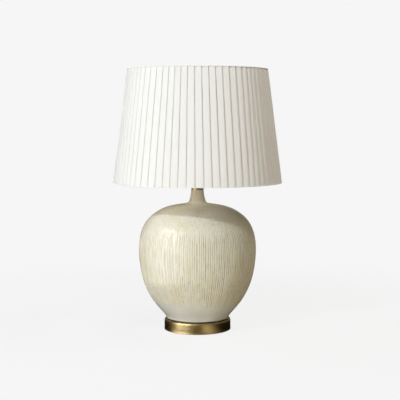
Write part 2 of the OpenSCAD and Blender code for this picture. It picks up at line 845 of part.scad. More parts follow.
module pleated_cover() {
    n = 4 * pleat_count;
    points = concat(
        cover_line(z_cover, -1, false), cover_line(z_cover_top, 1, false),
        cover_line(z_cover, -1, true), cover_line(z_cover_top, 1, true)
    );
    faces = [
        for (k = [0:n - 1])
            let (
                m = (k + 1) % n,
                front = [k, m, n + k, n + m],
                back = [2 * n + k, 2 * n + m, 3 * n + k, 3 * n + m]
            )
            for (triangle = [
                [front[0], front[2], front[3]], [front[0], front[3], front[1]],
                [back[0], back[3], back[2]], [back[0], back[1], back[3]],
                [front[0], front[1], back[0]], [front[1], back[1], back[0]],
                [front[2], back[2], front[3]], [front[3], back[2], back[3]]
            ])
            triangle
    ];
    color(cloth) polyhedron(points, faces);
}

// A binding follows the cone outside and tucks under the frame's ring
module binding(edge_z, up) {
    leg_z = edge_z + up * binding_h;
    web_z = edge_z + up * binding_t;
    bevel = 0.3;
    color(cloth) turned([
        [cone_r(edge_z) - bevel, edge_z], [cone_r(edge_z + up * bevel), edge_z + up * bevel],
        [cone_r(leg_z), leg_z], [cone_r(leg_z) - binding_t, leg_z],
        [cone_r(web_z) - binding_t, web_z], [cone_r(web_z) - web_in, web_z],
        [cone_r(edge_z) - web_in, edge_z]
    ]);
}

module bottom_binding() {
    binding(z_shade, 1);
}

module top_binding() {
    binding(z_shade_top, -1);
}

felt_pad();
base_board();
brass_foot();
flex_bush();
foot_washer();
foot_nut();
foot_gasket();
ceramic_body();
threaded_rod();
neck_seal();
neck_cap();
neck_nut();
stem_tube();
holder_cup();
grub_screw();
switch_block();
switch_bar();
socket_core();
screw_shell();
shell_screws();
centre_contact();
contact_screw();
holder_barrel();
clamp_ring();
bulb_contact();
bulb_insulator();
bulb_cap();
bulb_glass();
fitter_ring();
bottom_ring();
top_ring();
lining();
pleated_cover();
bottom_binding();
top_binding();
for (i = [1:strut_count]) strut(i);
for (i = [1:arm_count]) spider_arm(i);
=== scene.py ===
"""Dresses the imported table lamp: combed vase, knife-pleated shade, aged brass and a pale studio."""

import math

import bmesh
import bpy
import numpy as np
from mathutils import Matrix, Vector, noise


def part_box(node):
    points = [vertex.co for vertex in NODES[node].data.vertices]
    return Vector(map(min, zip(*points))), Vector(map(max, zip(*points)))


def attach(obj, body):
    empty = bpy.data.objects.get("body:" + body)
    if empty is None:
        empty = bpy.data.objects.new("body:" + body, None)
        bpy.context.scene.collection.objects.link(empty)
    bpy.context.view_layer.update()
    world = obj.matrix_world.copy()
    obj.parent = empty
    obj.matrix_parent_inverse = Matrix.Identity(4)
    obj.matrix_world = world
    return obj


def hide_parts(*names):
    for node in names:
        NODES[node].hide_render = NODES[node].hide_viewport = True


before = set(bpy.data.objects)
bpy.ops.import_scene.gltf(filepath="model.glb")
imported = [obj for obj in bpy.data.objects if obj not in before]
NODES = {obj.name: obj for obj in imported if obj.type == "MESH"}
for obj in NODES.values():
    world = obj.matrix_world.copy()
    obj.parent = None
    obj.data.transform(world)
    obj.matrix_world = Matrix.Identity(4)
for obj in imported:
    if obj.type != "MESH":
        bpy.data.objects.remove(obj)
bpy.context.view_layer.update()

bl_info = {
    "name": "Ceramic table lamp",
    "version": (1, 0, 0),
    "blender": (4, 5, 0),
    "location": "3D View > Sidebar > Lamp",
    "description": "Dresses a vase lamp with glaze, a pleated shade and aged brass",
    "category": "Object",
}

MM = 0.001
FULL_TURN = 2 * math.pi


def linear(hex_colour):
    """An sRGB hex colour as linear red, green, blue and full alpha."""
    parts = [int(hex_colour[i : i + 2], 16) / 255 for i in (1, 3, 5)]
    return tuple(c / 12.92 if c <= 0.04045 else ((c + 0.055) / 1.055) ** 2.4 for c in parts) + (1.0,)


def colour_property(name, description, hex_colour):
    return bpy.props.FloatVectorProperty(
        name=name, description=description, default=linear(hex_colour), size=4, subtype="COLOR", min=0, max=1
    )


def length_property(name, description, millimetres):
    return bpy.props.FloatProperty(
        name=name, description=description, default=millimetres * MM, subtype="DISTANCE", unit="LENGTH"
    )


def count_property(name, description, count, low, high):
    return bpy.props.IntProperty(name=name, description=description, default=count, min=low, max=high)


def power_property(name, description, watts):
    return bpy.props.FloatProperty(name=name, description=description, default=watts, min=0)


# ---------------------------------------------------------------- settings


class VaseSettings(bpy.types.PropertyGroup):
    groove_count: count_property("Grooves", "Combed grooves round the vase", 172, 60, 220)
    groove_depth: length_property("Groove depth", "Depth of a combed groove", 1.3)
    comb_low: length_property("Comb foot", "Height at which the combing ends", 61.5)
    comb_high: length_property("Comb top", "Height at which the combing starts", 244.5)
    ivory: colour_property("Ivory", "Main colour of the glaze", "#F2EEDD")
    celadon: colour_property("Celadon", "Greenish clouds in the glaze", "#EFEAD3")
    blush: colour_property("Blush", "Pinkish clouds in the glaze", "#EFE5D6")
    pooled: colour_property("Pooled", "Glaze that has pooled in the grooves", "#A89566")
    # The smooth band's cooler white is partly a painted reflection of the pale floor.
    slip: colour_property("Slip", "Smooth band above the foot", "#EFEFEB")
    thin: colour_property("Thin glaze", "Pale runs where the glaze is thin", "#F9F6E7")
    # The neck's brown tint is painted warm shade from the lampshade above.
    neck_shade_tint: colour_property("Iron", "Iron that shows through on the neck", "#C8B28A")


class ShadeSettings(bpy.types.PropertyGroup):
    pleats: count_property("Pleats", "Knife pleats round the shade", 68, 20, 90)
    bottom_radius: length_property("Bottom radius", "Radius of the shade's lower edge", 200)
    top_radius: length_property("Top radius", "Radius of the shade's upper edge", 165.7)
    low: length_property("Lower edge", "Height of the lower edge", 349.8)
    high: length_property("Upper edge", "Height of the upper edge", 616.0)
    cloth: colour_property("Cloth", "Off-white cotton of cover and binding", "#F6F4F1")
    lining: colour_property("Lining", "Laminated lining", "#F1EFEA")


class MetalSettings(bpy.types.PropertyGroup):
    brass: colour_property("Brass", "Brushed antique brass", "#C0AD7E")
    patina: colour_property("Patina", "Brown lacquer in the brushing", "#6B5028")
    zinc: colour_property("Zinc", "Bright zinc on the fasteners", "#B9BBBD")
    enamel: colour_property("Enamel", "White coating of the shade's frame", "#E9E8E3")


class StudioSettings(bpy.types.PropertyGroup):
    background: colour_property("Background", "Pale sweep behind the lamp", "#F6F6F6")
    fill: colour_property("Fill", "Warm light of the room", "#40382B")
    key_power: power_property("Key", "Power of the key lamp in watts", 33)
    window_power: power_property("Window", "Power of the soft panel in watts", 23.4)


GROUPS = {
    "lamp_vase": VaseSettings,
    "lamp_shade": ShadeSettings,
    "lamp_metal": MetalSettings,
    "lamp_studio": StudioSettings,
}


# ---------------------------------------------------------------- material helpers


def start(name):
    """A new material, its tree, which is empty but for the output, and the piece's own coordinates."""
    material = bpy.data.materials.new(name)
    material.use_nodes = True
    tree = material.node_tree
    tree.nodes.remove(tree.nodes["Principled BSDF"])
    return material, tree, add(tree, "TexCoord", output="Object")


def add(tree, kind, inputs=(), output=0, **settings):
    """Adds one node with its settings, values and links, and gives the output that is asked for."""
    made = tree.nodes.new("ShaderNode" + kind)
    for key, value in settings.items():
        setattr(made, key, value)
    for socket, value in inputs.items() if isinstance(inputs, dict) else enumerate(inputs):
        if isinstance(value, bpy.types.NodeSocket):
            tree.links.new(value, made.inputs[socket])
        else:
            made.inputs[socket].default_value = value
    return made.outputs[output]


def finish(tree, kind, inputs):
    """Ends a material with its last shader."""
    tree.links.new(add(tree, kind, inputs), tree.nodes["Material Output"].inputs["Surface"])


def every(millimetres):
    """The scale at which a pattern repeats about once in so many millimetres."""
    return 1 / (millimetres * MM)


# MapRange takes the value, the range that it has and the range that it gets. A Mix of colours takes the
# factor at input 0 and the two colours at 6 and 7, and gives the result at output 2.
SMOOTH = {"interpolation_type": "SMOOTHSTEP"}
COLOURS = {"data_type": "RGBA"}


# ---------------------------------------------------------------- materials


def crazed_glaze(look):
    """Ivory stoneware glaze, fired glossy: it clouds, pools darker in the combing, runs and crazes finely."""
    material, tree, at = start("crazed_ivory_glaze")
    height = add(tree, "SeparateXYZ", (at,), "Z")
    # Greenish clouds 40 mm across and a few warmer ones.
    cloud = add(tree, "TexNoise", {"Vector": at, "Scale": every(40), "Detail": 3})
    cloud = add(tree, "MapRange", (cloud, 0.42, 0.62, 0, 1), **SMOOTH)
    colour = add(tree, "Mix", {0: cloud, 6: look.ivory, 7: look.celadon}, 2, **COLOURS)
    warm = add(tree, "TexNoise", {"Vector": at, "Scale": every(25), "Detail": 4})
    warm = add(tree, "MapRange", (warm, 0.5, 0.7, 0, 0.6), **SMOOTH)
    colour = add(tree, "Mix", {0: warm, 6: colour, 7: look.blush}, 2, **COLOURS)
    # The clay below the combing was sponged smooth; its cooler white is partly its own tone and partly a
    # painted reflection of the pale floor.
    ragged = add(tree, "TexNoise", {"Vector": at, "Scale": every(18), "Detail": 3})
    edge = add(tree, "Math", (ragged, 0.022, height), operation="MULTIPLY_ADD")
    band = add(tree, "MapRange", (edge, 0.074, 0.094, 0.95, 0), **SMOOTH)
    colour = add(tree, "Mix", {0: band, 6: colour, 7: look.slip}, 2, **COLOURS)
    # Runs are 3 mm wide and ten times as long: thin glaze is lighter, thick glaze darker.
    upright = add(tree, "VectorMath", (at, (1, 1, 0.09)), operation="MULTIPLY")
    run = add(tree, "TexNoise", {"Vector": upright, "Scale": every(3.2), "Detail": 2})
    above = add(tree, "MapRange", (height, 0.08, 0.11, 0, 1), **SMOOTH)
    thick = add(tree, "MapRange", (run, 0.52, 0.74, 0, 0.3), **SMOOTH)
    thick = add(tree, "Math", (thick, above), operation="MULTIPLY")
    colour = add(tree, "Mix", {0: thick, 6: colour, 7: look.pooled}, 2, **COLOURS)
    thin = add(tree, "MapRange", (run, 0.46, 0.3, 0, 0.6), **SMOOTH)
    thin = add(tree, "Math", (thin, above), operation="MULTIPLY")
    colour = add(tree, "Mix", {0: thin, 6: colour, 7: look.thin}, 2, **COLOURS)
    # The neck and the shoulder lie in the lampshade's shadow and are tinted brown there, streaked along the
    # runs: painted warm shade.
    neck_shade_tint = add(tree, "Math", (run, 0.05, height), operation="MULTIPLY_ADD")
    neck_shade_tint = add(tree, "MapRange", (neck_shade_tint, 0.262, 0.35, 0, 0.36), **SMOOTH)
    colour = add(tree, "Mix", {0: neck_shade_tint, 6: colour, 7: look.neck_shade_tint}, 2, **COLOURS)
    pool = add(tree, "Attribute", output="Fac", attribute_name="pooling")
    pool = add(tree, "Math", (pool, 0.5), operation="MULTIPLY")
    colour = add(tree, "Mix", {0: pool, 6: colour, 7: look.pooled}, 2, **COLOURS)
    # Crazing is a net of hairlines, drawn 0.3 mm wide so that it can show.
    craze = add(tree, "TexVoronoi", {"Vector": at, "Scale": every(6.5)}, feature="DISTANCE_TO_EDGE")
    craze = add(tree, "MapRange", (craze, 0, 0.05, 0.22, 0), **SMOOTH)
    colour = add(tree, "Mix", {0: craze, 6: colour, 7: look.pooled}, 2, **COLOURS)
    gloss = add(tree, "TexNoise", {"Vector": at, "Scale": every(12), "Detail": 3})
    gloss = add(tree, "MapRange", (gloss, 0.3, 0.7, 0.07, 0.15), **SMOOTH)
    peel = add(tree, "TexNoise", {"Vector": at, "Scale": every(9), "Detail": 2})
    peel = add(tree, "Bump", {"Height": peel, "Distance": 0.45 * MM, "Strength": 0.6})
    finish(tree, "BsdfPrincipled", {"Base Color": colour, "Roughness": gloss, "IOR": 1.5, "Normal": peel})
    return material


def shade_cotton(name, colour, slub, thread_mm=1.3):
    """Fine cotton lawn, matt, with slubs; its threads are drawn coarser than real so that they show."""
    material, tree, at = start(name)
    slubs = add(tree, "VectorMath", (at, (1, 1, 0.12)), operation="MULTIPLY")
    slubs = add(tree, "TexNoise", {"Vector": slubs, "Scale": every(2.4), "Detail": 3})
    slubs = add(tree, "MapRange", (slubs, 0.35, 0.75, 0, slub), **SMOOTH)
    # Warp threads are counted round the axis, at the shade's middling radius, and weft threads up it.
    middling_radius = 0.18
    turns = FULL_TURN * every(thread_mm)
    x, y, z = (add(tree, "SeparateXYZ", (at,), axis) for axis in "XYZ")
    turn = add(tree, "Math", (y, x), operation="ARCTAN2")
    warp = add(tree, "Math", (turn, middling_radius * turns), operation="MULTIPLY")
    warp = add(tree, "Math", (warp,), operation="SINE")
    weft = add(tree, "Math", (z, turns), operation="MULTIPLY")
    weft = add(tree, "Math", (weft,), operation="SINE")
    weave = add(tree, "Math", (warp, weft), operation="MULTIPLY")
    weave = add(tree, "MapRange", (weave, -1, 1, 0, 1))
    tone = add(tree, "Mix", {0: slubs, 6: colour, 7: linear("#DAD8D0")}, 2, **COLOURS)
    shadow = add(tree, "Math", (weave, 0.05), operation="MULTIPLY")
    tone = add(tree, "Mix", {0: shadow, 6: tone, 7: linear("#CFCDC5")}, 2, **COLOURS)
    relief = add(tree, "Bump", {"Height": weave, "Distance": 0.12 * MM, "Strength": 0.5})
    matt = {"Roughness": 0.88, "IOR": 1.45, "Sheen Weight": 0.12, "Sheen Roughness": 0.5}
    finish(tree, "BsdfPrincipled", {"Base Color": tone, "Normal": relief, **matt})
    return material


def brushed_brass(look):
    """Antique brass, spun and brushed round the axis, then stained brown and lacquered."""
    material, tree, at = start("brushed_antique_brass")
    # Brush lines are about 0.8 mm apart and run 60 mm round the foot.
    lines = add(tree, "VectorMath", (at, (0.013, 0.013, 1)), operation="MULTIPLY")
    lines = add(tree, "TexNoise", {"Vector": lines, "Scale": every(0.8), "Detail": 3, "Roughness": 0.6})
    stain = add(tree, "TexNoise", {"Vector": at, "Scale": every(16), "Detail": 4})
    stain = add(tree, "MapRange", (stain, 0.4, 0.75, 0, 0.38), **SMOOTH)
    tone = add(tree, "Mix", {0: stain, 6: look.brass, 7: look.patina}, 2, **COLOURS)
    dirt = add(tree, "MapRange", (lines, 0.45, 0.75, 0, 0.35), **SMOOTH)
    tone = add(tree, "Mix", {0: dirt, 6: tone, 7: look.patina}, 2, **COLOURS)
    rough = add(tree, "MapRange", (lines, 0.3, 0.7, 0.27, 0.36), **SMOOTH)
    relief = add(tree, "Bump", {"Height": lines, "Distance": 0.05 * MM, "Strength": 0.35})
    brushed = {"Metallic": 1.0, "Roughness": rough, "Anisotropic": 0.6, "Anisotropic Rotation": 0.25}
    finish(tree, "BsdfPrincipled", {"Base Color": tone, "Normal": relief, **brushed})
    return material


def zinc_steel(look):
    """Mild steel with bright zinc: cool, with a fine spangle from the bath."""
    material, tree, at = start("bright_zinc_steel")
    spangle = add(tree, "TexNoise", {"Vector": at, "Scale": every(1.6), "Detail": 4})
    amount = add(tree, "MapRange", (spangle, 0.35, 0.65, 0, 1), **SMOOTH)
    tone = add(tree, "Mix", {0: amount, 6: look.zinc, 7: linear("#8F9193")}, 2, **COLOURS)
    rough = add(tree, "MapRange", (spangle, 0.3, 0.7, 0.28, 0.42), **SMOOTH)
    finish(tree, "BsdfPrincipled", {"Base Color": tone, "Metallic": 1.0, "Roughness": rough})
    return material


# Moulded and coated finishes: two tones, roughness, and the grain's width and depth in millimetres.
# The powder coat's first tone is a setting.
MOULDED = {
    "pressed_hardboard": ("#7A5B3A", "#5C4228", 0.75, 1.4, 0.1),
    "moulded_black_rubber": ("#16110C", "#231C15", 0.62, 0.8, 0.06),
    "white_powder_coat": (None, "#DEDCD5", 0.4, 1.1, 0.05),
    "moulded_phenolic": ("#2A211B", "#1C1714", 0.4, 3.0, 0.05),
    "polished_black_abs": ("#121212", "#1B1B1B", 0.22, 1.2, 0.02),
    "rolled_nickel": ("#C9C6BE", "#A9A69E", 0.3, 1.0, 0.03),
    "cast_black_glass": ("#0B0B0C", "#151517", 0.12, 2.0, 0.02),
    "opal_glass": ("#F2F1EC", "#E8E6DF", 0.16, 14.0, 0.02),
}


def moulded(name, setting=None, **extra):
    """A moulded or coated surface with a fine grain of its own."""
    first, second, roughness, width_mm, depth_mm = MOULDED[name]
    material, tree, at = start(name)
    grain = add(tree, "TexNoise", {"Vector": at, "Scale": every(width_mm), "Detail": 3})
    amount = add(tree, "MapRange", (grain, 0.35, 0.7, 0, 1), **SMOOTH)
    tone = add(tree, "Mix", {0: amount, 6: setting or linear(first), 7: linear(second)}, 2, **COLOURS)
    rough = add(tree, "MapRange", (grain, 0.3, 0.7, roughness * 0.85, roughness * 1.15), **SMOOTH)
    relief = add(tree, "Bump", {"Height": grain, "Distance": depth_mm * MM, "Strength": 0.4})
    finish(tree, "BsdfPrincipled", {"Base Color": tone, "Roughness": rough, "Normal": relief, **extra})
    return material


def pressed_felt():
    """Wool felt, pressed: short tangled hair that takes the light softly."""
    material, tree, at = start("pressed_black_felt")
    hair = add(tree, "TexNoise", {"Vector": at, "Scale": every(0.9), "Detail": 6, "Roughness": 0.7})
    amount = add(tree, "MapRange", (hair, 0.3, 0.7, 0, 1), **SMOOTH)
    tone = add(tree, "Mix", {0: amount, 6: linear("#161616"), 7: linear("#33322F")}, 2, **COLOURS)
    relief = add(tree, "Bump", {"Height": hair, "Distance": 0.4 * MM, "Strength": 0.8})
    woolly = {"Roughness": 0.95, "Sheen Weight": 0.35, "Sheen Roughness": 0.4}
    finish(tree, "BsdfPrincipled", {"Base Color": tone, "Normal": relief, **woolly})
    return material


# ---------------------------------------------------------------- mesh helpers


def joined_rings(name, rings, closed):
    """A mesh through rings of points, each joined to the next, and the last to the first if closed."""
    rings = np.asarray(rings)
    count, around = rings.shape[:2]
    here = np.arange(around)
    beside = (here + 1) % around
    faces = []
    for row in range(count if closed else count - 1):
        low, high = row * around, (row + 1) % count * around
        faces.append(np.stack([low + here, low + beside, high + beside, high + here], axis=1))
    mesh = bpy.data.meshes.new(name)
    mesh.from_pydata(rings.reshape(-1, 3).tolist(), [], np.concatenate(faces).tolist())
    shell = bmesh.new()
    shell.from_mesh(mesh)
    bmesh.ops.remove_doubles(shell, verts=shell.verts, dist=1e-6)
    bmesh.ops.recalc_face_normals(shell, faces=shell.faces)
    shell.to_mesh(mesh)
    shell.free()
    mesh.shade_smooth()
    piece = bpy.data.objects.new(name, mesh)
    bpy.context.scene.collection.objects.link(piece)
    return piece


def all_round(around):
    """So many angles, evenly spaced round the axis."""
    return np.arange(around) * FULL_TURN / around


def ring_points(radius, angle, height):
    """Points round the axis; radius and height are one value or one for each angle."""
    level = np.broadcast_to(height, angle.shape)
    return np.stack([radius * np.cos(angle), radius * np.sin(angle), level], axis=1)


def turned_ring(radius, height, around):
    return ring_points(radius, all_round(around), height)


def square_to(way):
    """Steps of one millimetre square to each way, to its right."""
    return np.stack([way[:, 1], -way[:, 0]], axis=1) / np.linalg.norm(way, axis=1)[:, None]


def dress(piece, material, slot, body, *nodes):
    """Gives a new piece its finish and its body, and hides the CAD nodes that it stands for."""
    piece.data.materials.append(material)
    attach(piece, body)
    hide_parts(*nodes)


def finish_nodes(material, *names):
    """Gives CAD nodes that are shown as they are their finish."""
    for name in names:
        node = NODES[name]
        if not node.material_slots:
            node.data.materials.append(material)
        for held in node.material_slots:
            held.material = material


def soft_noise(x, y, z, size_mm):
    """Smooth noise from -1 to 1 at a place in millimetres."""
    return noise.noise(Vector((x, y, z)) / size_mm)


# ---------------------------------------------------------------- vase


def cubic(points, t):
    """Points on a Bezier curve with four control points, at the shares t along it."""
    p = [np.array(q, dtype=float) for q in points]
    t = np.asarray(t)[:, None]
    return (1 - t) ** 3 * p[0] + 3 * (1 - t) ** 2 * t * p[1] + 3 * (1 - t) * t**2 * p[2] + t**3 * p[3]


def climbing(degrees, outwards):
    """One millimetre's way at a slope above the level, outwards (1) or inwards (-1)."""
    return np.array([outwards * math.cos(math.radians(degrees)), math.sin(math.radians(degrees))])


def vase_curves():
    """The vase's outline as Bezier curves: radius and height above the foot ring in millimetres."""
    foot, flare, belly = np.array([74.4, 0.0]), np.array([102.5, 36.5]), np.array([139.0, 157.5])
    shoulder, throat, neck = np.array([91.0, 254.5]), np.array([21.5, 274.5]), np.array([14.5, 304.0])
    at_flare, at_shoulder, at_throat = climbing(53.5, 1), climbing(31, -1), climbing(55.5, -1)
    neck_draft = math.tan(math.radians(6))
    return [
        [foot, foot + [0, 6.5], flare - 22.5 * at_flare, flare],
        [flare, flare + 56.5 * at_flare, belly - [0, 16], belly],
        [belly, belly + [0, 59], shoulder - 34 * at_shoulder, shoulder],
        [shoulder, shoulder + 33 * at_shoulder, throat - 7.5 * at_throat, throat],
        [throat, throat + 6 * at_throat, neck + [15.5 * neck_draft, -15.5], neck],
    ]


def resampled(line, spacing):
    """Points along a line, spacing(height) millimetres apart."""
    steps = np.linalg.norm(np.diff(line, axis=0), axis=1)
    along = np.concatenate([[0], np.cumsum(steps)])
    at, places = 0.0, [0.0]
    while at < along[-1]:
        at += spacing(np.interp(at, along, line[:, 1]))
        places.append(min(at, along[-1]))
    return np.stack([np.interp(places, along, line[:, k]) for k in (0, 1)], axis=1)


def wall_noise(radius, angles, height, size_mm):
    """Smooth noise at places round a wall."""
    return np.array([soft_noise(radius * math.cos(a), radius * math.sin(a), height, size_mm) for a in angles])


class LAMP_OT_vase(bpy.types.Operator):
    """Throws, combs and glazes the vase"""

    bl_idname = "lamp.vase"
    bl_label = "Combed vase"

    # Sizes in millimetres; heights count from the foot ring, which lies foot_height above the table
    foot_height = 29.1
    wall = 5.0
    floor = 7.0
    floor_radius = 64.0
    hole = 9.0
    neck_bore = 9.5

    # The mesh's rings lie closer in the neck's tight curve; the inside has one for every inner_step
    neck_from = 262.0
    ring_gap = 3.4
    neck_ring_gap = 2.4
    inner_step = 12

    # The hand-thrown wall swells by up to this, over clouds of this size, but not at its edges
    swell = 0.45
    swell_size = 46
    calm_edge = 12

    # Across one stroke: its bottom, its flank, the ridge and the next flank, as shares of its depth
    cut_shares = (1.0, 0.3, 0.0, 0.3)

    # How far strokes stray: in place by a share of their pitch, at their ends in millimetres, and in depth
    place_stray = 0.3
    top_stray = (-22, 10)
    end_stray = (-6, 26)
    depth_shares = (0.7, 1.0)
    # A stroke gains its depth and loses it over these lengths
    run_in = 9
    run_out = 14
    # It sways in two waves: reach in radians and length in millimetres
    sways = ((0.0022, 31), (0.001, 9))
    # The comb's pressure: its mean and least, and how far it changes in patches and along each stroke, over
    # what size, with the height shrunk by the last value, which draws the change out upright
    pressure, least_pressure = 0.85, 0.2
    patchy, patch_size, patch_upright = 0.6, 17, 0.45
    own, own_size, own_upright = 0.7, 9, 0.4

    def drawn_strokes(self, look):
        """Each stroke's angle, top, end, share of the full depth and the phases of its sway."""
        draws = np.random.default_rng(7)
        count = look.groove_count
        strayed = np.arange(count) + draws.uniform(-self.place_stray, self.place_stray, count)
        place = strayed * FULL_TURN / count
        top = look.comb_high / MM + draws.uniform(*self.top_stray, count)
        end = look.comb_low / MM + draws.uniform(*self.end_stray, count)
        weight = draws.uniform(*self.depth_shares, count)
        return place, top, end, weight, draws.uniform(0, FULL_TURN, (2, count))

    def stroke_depths(self, strokes, radius, height, full_depth):
        """How deep each stroke is at a height."""
        place, top, end, weight, _ = strokes
        reach = np.clip((top - height) / self.run_in, 0, 1) * np.clip((height - end) / self.run_out, 0, 1)
        reach = reach * weight
        patches = wall_noise(radius, place, height * self.patch_upright, self.patch_size)
        # Each stroke reads a track of the noise that lies well away from the next one's.
        rise = height * self.own_upright
        tracks = np.array([soft_noise(i * 17.3, i * 5.1, rise, self.own_size) for i in range(len(place))])
        pressed = self.pressure + self.patchy * patches + self.own * tracks
        return full_depth * reach * np.clip(pressed, self.least_pressure, 1)

    def combed_ring(self, strokes, point, normal, neck_height, full_depth):
        """One ring of the outer wall, and the share of pooled glaze at each of its points."""
        radius, rise = point
        height = rise + self.foot_height
        place, phases = strokes[0], strokes[-1]
        depth = self.stroke_depths(strokes, radius, height, full_depth)
        waves = zip(self.sways, phases)
        line = place + sum(reach * np.sin(height / length + phase) for (reach, length), phase in waves)
        following = np.roll(line, -1)
        following[-1] += FULL_TURN
        calm = np.clip(rise / self.calm_edge, 0, 1) * np.clip((neck_height - rise) / self.calm_edge, 0, 1)
        ring, pooling = [], []
        for column, cut_share in enumerate(self.cut_shares):
            angle = line + (following - line) * (column / len(self.cut_shares))
            proud = self.swell * wall_noise(radius, angle, height, self.swell_size) * calm - depth * cut_share
            ring.append(ring_points(radius + normal[0] * proud, angle, height + normal[1] * proud))
            pooling.append(depth / full_depth * cut_share)
        return np.stack(ring, axis=1).reshape(-1, 3), np.stack(pooling, axis=1).reshape(-1)

    def inner_wall(self, outline, normal, neck_height):
        """The inside, from the neck's rim down to the hole in the floor."""
        offset = (outline - self.wall * normal)[:: -self.inner_step]
        inside = [point for point in offset if point[1] > self.floor + 2]
        floor = [(self.floor_radius, self.floor), (self.hole, self.floor), (self.hole, 0.0)]
        return [(self.neck_bore, neck_height), *inside[1:], *floor]

    def execute(self, context):
        look = context.scene.lamp_vase
        curves = [cubic(points, np.linspace(0, 1, 200)) for points in vase_curves()]
        fine = np.concatenate([curves[0], *(curve[1:] for curve in curves[1:])])
        outline = resampled(fine, lambda rise: self.neck_ring_gap if rise > self.neck_from else self.ring_gap)
        normal = square_to(np.gradient(outline, axis=0))
        neck_height = outline[-1, 1]
        strokes = self.drawn_strokes(look)
        rings, pooling = [], []
        for point, out in zip(outline, normal):
            ring, pooled = self.combed_ring(strokes, point, out, neck_height, look.groove_depth / MM)
            rings.append(ring)
            pooling.append(pooled)
        around = len(rings[0])
        for radius, rise in self.inner_wall(outline, normal, neck_height):
            rings.append(turned_ring(radius, rise + self.foot_height, around))
            pooling.append(np.zeros(around))
        vase = joined_rings("combed_vase", np.array(rings) * MM, True)
        values = vase.data.attributes.new("pooling", "FLOAT", "POINT")
        values.data.foreach_set("value", np.concatenate(pooling).astype(np.float32))
        dress(vase, crazed_glaze(look), "glazed_ceramic", "base", "ceramic_body")
        return {"FINISHED"}


# ---------------------------------------------------------------- shade


def cone_slope(shade):
    """How much the shade's radius grows on a way down, as a share of that way."""
    return (shade.bottom_radius - shade.top_radius) / (shade.high - shade.low)


def cone_radius(shade, height):
    """The shade's radius at a height, both in millimetres."""
    return shade.bottom_radius / MM - (height - shade.low / MM) * cone_slope(shade)


